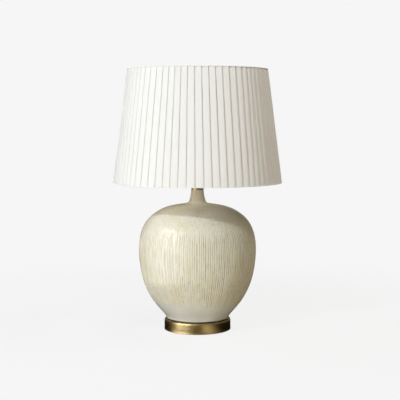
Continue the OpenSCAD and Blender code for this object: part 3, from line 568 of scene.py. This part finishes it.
class LAMP_OT_shade(bpy.types.Operator):
    """Lays the knife pleats and sews the two bindings"""

    bl_idname = "lamp.shade"
    bl_label = "Pleated shade"

    # Millimetres, but for the mesh's rows and the lap over the next pleat in degrees. The crests lie inside
    # the cone and the cut edges inside its ends. Under each pleat lies so much cloth at the bottom, and
    # under_more on top of it at the top.
    rows = 19
    cloth = 0.35
    crest_in = 0.72
    edge_in = 0.75
    deepest = 2.3
    lap_deg = 0.35
    under_low = 3.0
    under_more = 1.6

    # The first fold's place in degrees right of the front, the waves in the folds' spacing, as reach in
    # degrees, count round the shade and phase, and the wave in which they lean
    first_fold = -33.8
    spacing_waves = ((0.28, 8, -8), (0.32, 11, 40))
    leaning = (0.5, 5, 70)

    # Places across a pleat as shares of its pitch, and the cloth's depth there and at the fold's two layers:
    # crisp near the front, pressed flatter on the left and rounder on the right
    across = (0, 0.07, 0.16, 0.28, 0.43, 0.58, 0.74, 0.89)
    crisp_pleat = np.array((1.85, 2.05, 2.0, 1.72, 1.28, 0.85, 0.45, 0.18, 0.08, 0.86))
    flat_pleat = np.array((1.3, 1.38, 1.2, 0.9, 0.62, 0.43, 0.3, 0.28, 0.32, 0.8))
    round_pleat = np.array((2.1, 2.25, 1.75, 0.95, 0.34, 0.16, 0.4, 1.0, 1.3, 1.8))
    # How a round pleat bows out at those places
    bow = (0, 0.1, 0.35, 0.75, 1, 1, 0.75, 0.3)
    # The nose of a fold: way past its tip, and share of the way from the upper layer to the lower
    nose = ((-0.47, 0), (-0.12, 0.18), (0, 0.5), (-0.12, 0.82), (-0.5, 1))
    root_gap = 0.04
    root_back = 0.4

    # How the folds differ along their height: reach, size, how far apart folds read the noise, and its lane
    fold_noise = (
        (0.45, 110, 37.3, 0),  # broad lift of the cloth
        (0.12, 30, 23.1, 9),  # fine lift of the cloth
        (0.12, 160, 11.9, 3),  # share by which the pleat is deeper
        (0.5, 140, 29.7, 7),  # how much prouder the fold stands
        (0.35, 75, 5.7, 4),  # how far its tip strays
    )
    mean_proud = 0.38

    # In degrees round the shade: where flat pleats start to the left and round ones to the right, over how
    # many they reach their full form, and over how many they turn crisp again behind
    flat_from, flat_over = 5, 55
    round_from, round_over = 26, 34
    crisp_over = 40

    # A bias tape's section: in from the cone and up from the edge, round the edge from outside to inside
    tape_section = (
        (0.55, 1.6), (0.2, 1.55), (0.02, 1.3), (0.0, 0.8), (0.1, 0.35), (0.4, 0.05), (1.0, 0.0),
        (4.2, 0.02), (6.9, 0.0), (7.3, 0.2), (7.2, 0.55), (4.2, 0.62), (1.2, 0.6), (0.7, 0.75),
    )
    tape_around = 408
    tape_width = 10.5
    tape_proud = 0.3
    # The tape's seam: its place in radians, how proud it is and its width at a radius of about 200
    seam_at, seam_proud, seam_radius, seam_width = 1.5, 0.25, 200, 6

    def fold_at(self, i, up, count):
        """Angle of a fold in degrees right of the front, at the shade's bottom (-1) to its top (1)."""
        turn = 360 * i / count
        spacing = sum(reach * np.sin(np.radians(n * turn + phase)) for reach, n, phase in self.spacing_waves)
        reach, n, phase = self.leaning
        return self.first_fold + turn + spacing + reach * up * np.sin(np.radians(n * turn + phase))

    def pressing(self, degrees_right):
        """How flat and how round the pleats are pressed at a place round the shade; behind they are crisp."""
        place = (degrees_right + 180) % 360 - 180
        fade = min(1, (180 - abs(place)) / self.crisp_over)
        flatter = (-place - self.flat_from) / self.flat_over
        rounder = (place - self.round_from) / self.round_over
        return [min(1, max(0, share)) * fade for share in (flatter, rounder)]

    def path(self, pitch, lap, under, lift, drop, proud, pressed):
        """One pleat's cloth from root to root: way round the shade and depth, in millimetres."""
        flatter, rounder = pressed
        depths = self.crisp_pleat + flatter * (self.flat_pleat - self.crisp_pleat)
        depths = depths + rounder * (self.round_pleat - self.crisp_pleat)
        proud *= 1 - flatter
        points = []
        for share, depth, bow in zip(self.across, depths, self.bow):
            hung = min(self.deepest, depth * drop + lift * math.sin(math.pi * share**0.6))
            points.append((share * pitch, hung - proud * (share**1.5 * (1 - rounder) + bow * rounder)))
        tip, turn = pitch + lap, pitch - under
        over_depth, under_depth = depths[len(self.across) :]
        over, behind = (depth - proud * (1 - rounder) for depth in (over_depth, under_depth))
        points += [(tip + past, over + (behind - over) * share) for past, share in self.nose]
        root = depths[0] + self.root_gap
        points += [((tip + turn) / 2, (under_depth + behind) / 2), (turn + self.root_back, under_depth)]
        points += [(turn, (under_depth + root) / 2), (turn + self.root_back, root)]
        return points

    def pleats_at(self, shade, share, height):
        """The cloth's way round the shade at a share of its height, as points in millimetres."""
        radius = cone_radius(shade, height) - self.crest_in
        up = 2 * share - 1
        under = self.under_low + self.under_more * share
        middle = math.sin(math.pi * share)
        deg_per_mm = 180 / math.pi / radius
        plan = []
        for i in range(shade.pleats):
            start_deg, end_deg = self.fold_at(i, up, shade.pleats), self.fold_at(i + 1, up, shade.pleats)
            pitch = (end_deg - start_deg) / deg_per_mm
            broad, fine, deeper, prouder, stray = (
                reach * soft_noise(i * apart, lane, height, size)
                for reach, size, apart, lane in self.fold_noise
            )
            lift, drop = broad + fine, 1.0 + deeper
            # Between its edges the cloth stands a little proud, each fold by its own amount.
            proud = (self.mean_proud + prouder) * middle**0.5
            lap = self.lap_deg / deg_per_mm + stray * middle
            for along, depth in self.path(pitch, lap, under, lift, drop, proud, self.pressing(start_deg)):
                angle = math.radians(start_deg + along * deg_per_mm - 90)
                r = radius - depth
                plan.append((r * math.cos(angle), r * math.sin(angle)))
        return np.array(plan)

    def cover_rings(self, shade):
        """The cover's rings, the cloth's mean length through all the pleats, and its slant height."""
        low, high = shade.low / MM + self.edge_in, shade.high / MM - self.edge_in
        outer, inner, lengths = [], [], []
        # Close rows at both edges keep the cut from rounding the shading above it.
        for share in (0, 0.003, *np.linspace(0.03, 0.97, self.rows), 0.997, 1):
            height = low + share * (high - low)
            plan = self.pleats_at(shade, share, height)
            side = square_to(np.roll(plan, -1, axis=0) - np.roll(plan, 1, axis=0))
            lengths.append(np.linalg.norm(np.roll(plan, -1, axis=0) - plan, axis=1).sum())
            level = np.full(len(plan), height)
            outer.append(np.column_stack([plan + side * self.cloth / 2, level]))
            inner.append(np.column_stack([plan - side * self.cloth / 2, level]))
        slant = (high - low) / math.cos(math.atan(cone_slope(shade))) * MM
        return np.array(outer + inner[::-1]) * MM, np.mean(lengths) * MM, slant

    def tape(self, name, shade, edge, up):
        """Bias tape folded over the edge, from the outside down and under the ring."""
        angle = all_round(self.tape_around)
        ripple = wall_noise(90, angle, edge, 14)
        seam = self.seam_proud * np.exp(-(((angle - self.seam_at) * self.seam_radius / self.seam_width) ** 2))
        rings = []
        for inwards, rise in self.tape_section:
            height = edge / MM + up * (rise + 0.1 * ripple * (rise > 0.9))
            radius = cone_radius(shade, height) - inwards
            radius = radius + (0.09 * ripple + seam - self.tape_proud) * (inwards < 0.9)
            rings.append(ring_points(radius, angle, height))
        return joined_rings(name, np.array(rings) * MM, True)

    def execute(self, context):
        shade = context.scene.lamp_shade
        rings, width, height = self.cover_rings(shade)
        cover = joined_rings("pleated_cotton", rings, True)
        cotton = shade_cotton("pleated_cotton_lawn", shade.cloth, slub=0.1)
        dress(cover, cotton, "shade_cloth", "shade", "pleated_cover")
        for name, node, edge, radius, up in (
            ("bottom_tape", "bottom_binding", shade.low, shade.bottom_radius, 1),
            ("top_tape", "top_binding", shade.high, shade.top_radius, -1),
        ):
            tape = self.tape(name, shade, edge, up)
            cotton = shade_cotton(name + "_cotton", shade.cloth, slub=0.14, thread_mm=1.0)
            dress(tape, cotton, "shade_cloth", "shade", node)
        return {"FINISHED"}


class LAMP_OT_lining(bpy.types.Operator):
    """Rolls the lining inside the wire frame"""

    bl_idname = "lamp.lining"
    bl_label = "Lining"

    # Millimetres: how far it lies inside the cone, its thickness, how much further in it is between its
    # edges, and how much the struts press it in
    around, rows = 360, 13
    inset = 7.1
    thickness = 0.6
    pulled_in = 0.14
    strut_count, strut_pull = 6, 0.12
    # Its overlap: middle and half width in radians
    overlap_at, overlap_half, overlap_in = 1.62, 0.03, 0.22

    def cone(self, shade, low, high):
        """The lining's two sides as rings, between two heights in metres."""
        angle = all_round(self.around)
        struts = self.strut_pull * np.cos(self.strut_count * (angle - math.pi / 2))
        overlap = self.overlap_in * (np.abs(angle - self.overlap_at) < self.overlap_half)
        sides = [[], []]
        for z in (low, low + MM, *np.linspace(low, high, self.rows)[1:-1], high - MM, high):
            for side, extra in zip(sides, (0.0, self.thickness)):
                radius = (shade.bottom_radius - (z - shade.low) * cone_slope(shade)) / MM - self.inset - extra
                middle = math.sin(math.pi * (z - low) / (high - low))
                radius = radius - (self.pulled_in + struts) * middle - overlap
                side.append(ring_points(radius, angle, z / MM))
        return np.array(sides[0] + sides[1][::-1]) * MM

    def execute(self, context):
        shade = context.scene.lamp_shade
        heights = [v.co.z for v in NODES["lining"].data.vertices]
        low, high = min(heights), max(heights)
        lining = joined_rings("laminated_lining", self.cone(shade, low, high), True)
        cotton = shade_cotton("laminated_cotton_lining", shade.lining, slub=0.16, thread_mm=1.6)
        dress(lining, cotton, "lining_cloth", "shade", "lining")
        # Cut flat, it is an arc of a ring between two radii about the cone's tip.
        return {"FINISHED"}


# ---------------------------------------------------------------- fittings


class LAMP_OT_foot(bpy.types.Operator):
    """Finishes the foot, its felt and what is screwed to it"""

    bl_idname = "lamp.foot"
    bl_label = "Foot and felt"

    # Sizes in millimetres: the cut edge, which frays by up to fray, and its softened corners
    around = 240
    cut_in = 0.05
    softened = 0.5
    softened_top = 0.4
    fray = 0.12
    fray_size = 1.7

    def execute(self, context):
        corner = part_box("felt_pad")[1]
        radius, top = corner[0] / MM, corner[2] / MM
        middle, soft, cut = radius * 0.5, radius - self.softened, radius - self.cut_in
        outline = [(0.0, 0.0), (middle, 0.0), (soft, 0.0), (cut, self.softened)]
        outline += [(cut, top - self.softened_top), (soft, top), (middle, top), (0.0, top)]
        rings = []
        for r, z in outline:
            ring = turned_ring(r, z, self.around)
            if r > 0:
                frayed = np.array([self.fray * soft_noise(x, y, z, self.fray_size) for x, y, _ in ring])
                ring[:, :2] *= (1 - np.abs(frayed) / r)[:, None]
            rings.append(ring)
        felt = joined_rings("felt_disc", np.array(rings) * MM, False)
        dress(felt, pressed_felt(), "felt", "base", "felt_pad")
        finish_nodes(moulded("pressed_hardboard"), "base_board")
        finish_nodes(moulded("moulded_black_rubber"), "flex_bush", "foot_gasket", "neck_seal")
        return {"FINISHED"}


class LAMP_OT_metal(bpy.types.Operator):
    """Brushes the brass, plates the steel and coats the frame"""

    bl_idname = "lamp.metal"
    bl_label = "Metalwork"

    def execute(self, context):
        look = context.scene.lamp_metal
        finish_nodes(
            brushed_brass(look),
            "brass_foot", "neck_cap", "neck_nut", "stem_tube", "holder_cup", "holder_barrel",
            "clamp_ring", "screw_shell", "centre_contact",
        )
        finish_nodes(
            zinc_steel(look),
            "foot_washer", "foot_nut", "threaded_rod", "grub_screw", "shell_screws", "contact_screw",
        )
        # Powder coat on the frame: white, satin, with a fine orange peel.
        coat = moulded("white_powder_coat", look.enamel)
        wires = [name for name in NODES if name.startswith(("strut_", "spider_arm_"))]
        finish_nodes(coat, "fitter_ring", "bottom_ring", "top_ring", *wires)
        return {"FINISHED"}


class LAMP_OT_holder(bpy.types.Operator):
    """Finishes the switch, the socket and the bulb"""

    bl_idname = "lamp.holder"
    bl_label = "Switch, socket and bulb"

    def execute(self, context):
        # Phenolic resin moulds a deep brown-black with a faint flow pattern.
        finish_nodes(moulded("moulded_phenolic"), "switch_block", "socket_core")
        # Polished ABS on the bar that fingers push.
        finish_nodes(moulded("polished_black_abs"), "switch_bar")
        finish_nodes(moulded("rolled_nickel", Metallic=1.0), "bulb_cap", "bulb_contact")
        # Black glass is cast round the contact and stays glossy.
        finish_nodes(moulded("cast_black_glass"), "bulb_insulator")
        # Opal glass scatters light inside and looks soft white behind its gloss.
        milky = {"Subsurface Weight": 0.4, "Subsurface Radius": (1, 1, 1), "Subsurface Scale": 0.004}
        clear = {"Coat Weight": 0.5, "Coat Roughness": 0.05}
        finish_nodes(moulded("opal_glass", **milky, **clear), "bulb_glass")
        return {"FINISHED"}


# ---------------------------------------------------------------- studio


def towards(azimuth, elevation, distance, target):
    """A place at a distance from the target: azimuth right of the front and height in degrees."""
    a, e = math.radians(azimuth), math.radians(elevation)
    way = Vector((math.sin(a) * math.cos(e), -math.cos(a) * math.cos(e), math.sin(e)))
    return Vector(target) + way * distance


class LAMP_OT_studio(bpy.types.Operator):
    """Sets the sweep, the lamps, the cards and the camera"""

    bl_idname = "lamp.studio"
    bl_label = "Studio"

    # Metres: the sweep, which lies just below the felt so that they don't share a plane, and the lamps' aim
    sweep_radius = 1.6
    below_felt = 0.0002
    aim = (0, 0, 0.3)

    camera_place = (0.006, -2.3627, 0.4979)
    camera_down = 4.594
    lens_mm = 90
    sensor_mm = 36

    # Azimuth right of the front in degrees, and the brightness of what gloss sees there
    near_floor = (
        (-179, 0.5), (-160, 0.7), (-140, 0.2), (-124, 0.001), (-86, 0.001), (-74, 0.003), (-65, 0.05),
        (-58, 0.32), (-50, 0.72), (-43, 0.6), (-36, 0.2), (-26, 0.1), (-13, 0.15), (-3, 0.12), (7, 0.21),
        (18, 0.78), (26, 0.85), (39, 0.4), (51, 0.08), (63, 0.001), (76, 0.001), (124, 0.001), (140, 0.2),
        (160, 0.7), (179, 0.5),
    )
    far_floor = (
        (-179, 0.3), (-130, 0.05), (-104, 0.3), (-90, 1.1), (-76, 3.0), (-42, 3.9), (-34, 2.9), (-20, 1.3),
        (0, 0.55), (30, 0.3), (60, 0.05), (130, 0.1), (179, 0.3),
    )
    wall = (
        (-179, 0.3), (-130, 0.1), (-98, 0.2), (-88, 1.2), (-78, 3.0), (-68, 4.2), (-60, 5.2), (-50, 4.6),
        (-42, 4.2), (-34, 2.4), (-20, 0.7), (0, 0.3), (40, 0.3), (80, 0.1), (130, 0.1), (179, 0.3),
    )

    def panel(self, name, azimuth, elevation, distance, size, power, colour, mirrored=False):
        """A square lamp that lights what is matt, or one that only gloss mirrors."""
        light = bpy.data.lights.new(name, "AREA")
        light.size = size
        light.energy = power
        light.color = linear(colour)[:3]
        lamp = bpy.data.objects.new(name, light)
        lamp.visible_glossy, lamp.visible_diffuse = mirrored, not mirrored
        lamp.location = towards(azimuth, elevation, distance, self.aim)
        lamp.rotation_euler = (Vector(self.aim) - lamp.location).to_track_quat("-Z", "Y").to_euler()
        bpy.context.scene.collection.objects.link(lamp)

    def sweep(self, background):
        """A pale floor that keeps the lamp's shadow and fades into the background."""
        steps = [share * self.sweep_radius for share in (0.0, 0.25, 0.5, 0.75, 1.0)]
        floor = joined_rings("sweep", np.array([turned_ring(r, -self.below_felt, 96) for r in steps]), False)
        material, tree, at = start("painted_sweep")
        reach = add(tree, "VectorMath", (at,), "Value", operation="LENGTH")
        real = add(tree, "MapRange", (reach, 0.35, 1.3, 0.1, 0), **SMOOTH)
        glow = add(tree, "Emission", {"Color": background})
        lit = add(tree, "BsdfDiffuse", {"Color": linear("#FFFFFF")})
        seen = add(tree, "MixShader", (real, glow, lit))
        paint = add(tree, "BsdfDiffuse", {"Color": linear("#C9BFAB")})
        finish(tree, "MixShader", (self.looked_at(tree), paint, seen))
        floor.data.materials.append(material)

    def looked_at(self, tree):
        """1 for rays from the camera, a mirror or glass, which see the pale background."""
        kinds = ("Camera", "Glossy", "Transmission")
        camera, glossy, through = (add(tree, "LightPath", output=f"Is {kind} Ray") for kind in kinds)
        seen = add(tree, "Math", (camera, glossy), operation="MAXIMUM")
        return add(tree, "Math", (seen, through), operation="MAXIMUM")

    def world(self, studio):
        """The pale background as it is looked at, and the room's dim warm light for all else."""
        world = bpy.data.worlds.new("studio_air")
        world.use_nodes = True
        bpy.context.scene.world = world
        tree = world.node_tree
        air = add(tree, "Background", {"Color": studio.fill})
        seen = add(tree, "Background", {"Color": studio.background})
        mixed = add(tree, "MixShader", (self.looked_at(tree), air, seen))
        tree.links.new(mixed, tree.nodes["World Output"].inputs["Surface"])

    def cards(self, name, line, brightness):
        """A ring of studio cards that only gloss can see, bright at the window and dark beside it."""
        ring = joined_rings(name, np.array([turned_ring(r, z, 180) for r, z in line]), False)
        material, tree, at = start(name + "_glow")
        right, behind = (add(tree, "SeparateXYZ", (at,), axis) for axis in "XY")
        forward = add(tree, "Math", (behind, -1), operation="MULTIPLY")
        turn = add(tree, "Math", (right, forward), operation="ARCTAN2")
        # The share of a full turn is 0 at the back and grows past the left, the front and the right.
        share = add(tree, "Math", (turn, 1 / FULL_TURN, 0.5), operation="MULTIPLY_ADD")
        scale = add(tree, "ValToRGB", (share,))
        stops = scale.node.color_ramp.elements
        brightest = max(strength for _, strength in brightness)
        for azimuth, strength in brightness:
            stop = stops.new(azimuth / 360 + 0.5)
            level = strength / brightest
            # The window is white and the dimmer room beside it is warm.
            white = min(1, strength / 3)
            stop.color = (level, level * (0.86 + 0.14 * white), level * (0.58 + 0.42 * white), 1)
        stops.remove(stops[0])
        stops.remove(stops[-1])
        finish(tree, "Emission", {"Color": scale, "Strength": brightest})
        ring.data.materials.append(material)
        ring.visible_camera = ring.visible_diffuse = ring.visible_shadow = False
        ring.visible_transmission = ring.visible_volume_scatter = False

    def execute(self, context):
        studio = context.scene.lamp_studio
        self.sweep(studio.background)
        self.world(studio)
        self.panel("key", -34.5, 33, 3.0, 0.12, studio.key_power, "#E8F5FF")
        for name, azimuth, elevation, share, colour in (
            ("window", -35, 4, 1, "#FDFEFF"),
            ("side", -105, 18, 0.6, "#F6F8FF"),
            ("front", 15, 38, 0.29, "#FFF8EA"),
            ("top", 80, 65, 1.1, "#FFFCF4"),
            ("right", 80, 38, 0.1, "#FFF8EA"),
        ):
            self.panel(name, azimuth, elevation, 2.5, 0.9, studio.window_power * share, colour)
        # Gloss sees the key and the brightest pane of the window by two weak lamps of their own.
        self.panel("key_glint", -34.5, 33, 3.0, 0.1, 9.0, "#FFFBF0", mirrored=True)
        self.panel("pane_glint", -48, 4, 2.5, 0.36, 2.6, "#FFFFFF", mirrored=True)
        # The cards' radii and their height in metres: from beside the foot, over the floor, to the wall.
        foot, meet, wall, up = 0.0805, 0.3, 1.9, 0.0004
        self.cards("near_floor_cards", ((foot, up), (meet, up)), self.near_floor)
        self.cards("far_floor_cards", ((meet, up), (wall, up)), self.far_floor)
        self.cards("wall_cards", ((wall, up), (wall, wall)), self.wall)
        camera = bpy.data.objects.new("camera", bpy.data.cameras.new("camera"))
        camera.data.lens = self.lens_mm
        camera.data.sensor_width = self.sensor_mm
        camera.location = self.camera_place
        camera.rotation_euler = (math.radians(90 - self.camera_down), 0, 0)
        context.scene.collection.objects.link(camera)
        context.scene.camera = camera
        context.scene.view_settings.view_transform = "Standard"
        return {"FINISHED"}


OPERATORS = (
    LAMP_OT_studio, LAMP_OT_vase, LAMP_OT_shade, LAMP_OT_lining, LAMP_OT_foot, LAMP_OT_metal, LAMP_OT_holder,
)


class LAMP_PT_panel(bpy.types.Panel):
    """Lists the lamp's pieces in the order in which they are made"""

    bl_idname = "LAMP_PT_panel"
    bl_label = "Ceramic table lamp"
    bl_space_type = "VIEW_3D"
    bl_region_type = "UI"
    bl_category = "Lamp"

    def draw(self, context):
        for operator in OPERATORS:
            self.layout.operator(operator.bl_idname)


CLASSES = (*GROUPS.values(), *OPERATORS, LAMP_PT_panel)


def register():
    for cls in CLASSES:
        bpy.utils.register_class(cls)
    for name, group in GROUPS.items():
        setattr(bpy.types.Scene, name, bpy.props.PointerProperty(type=group))


def unregister():
    for name in GROUPS:
        delattr(bpy.types.Scene, name)
    for cls in reversed(CLASSES):
        bpy.utils.unregister_class(cls)


def main():
    register()
    bpy.ops.lamp.studio()
    bpy.ops.lamp.vase()
    bpy.ops.lamp.shade()
    bpy.ops.lamp.lining()
    bpy.ops.lamp.foot()
    bpy.ops.lamp.metal()
    bpy.ops.lamp.holder()


if __name__ == "__main__":
    main()
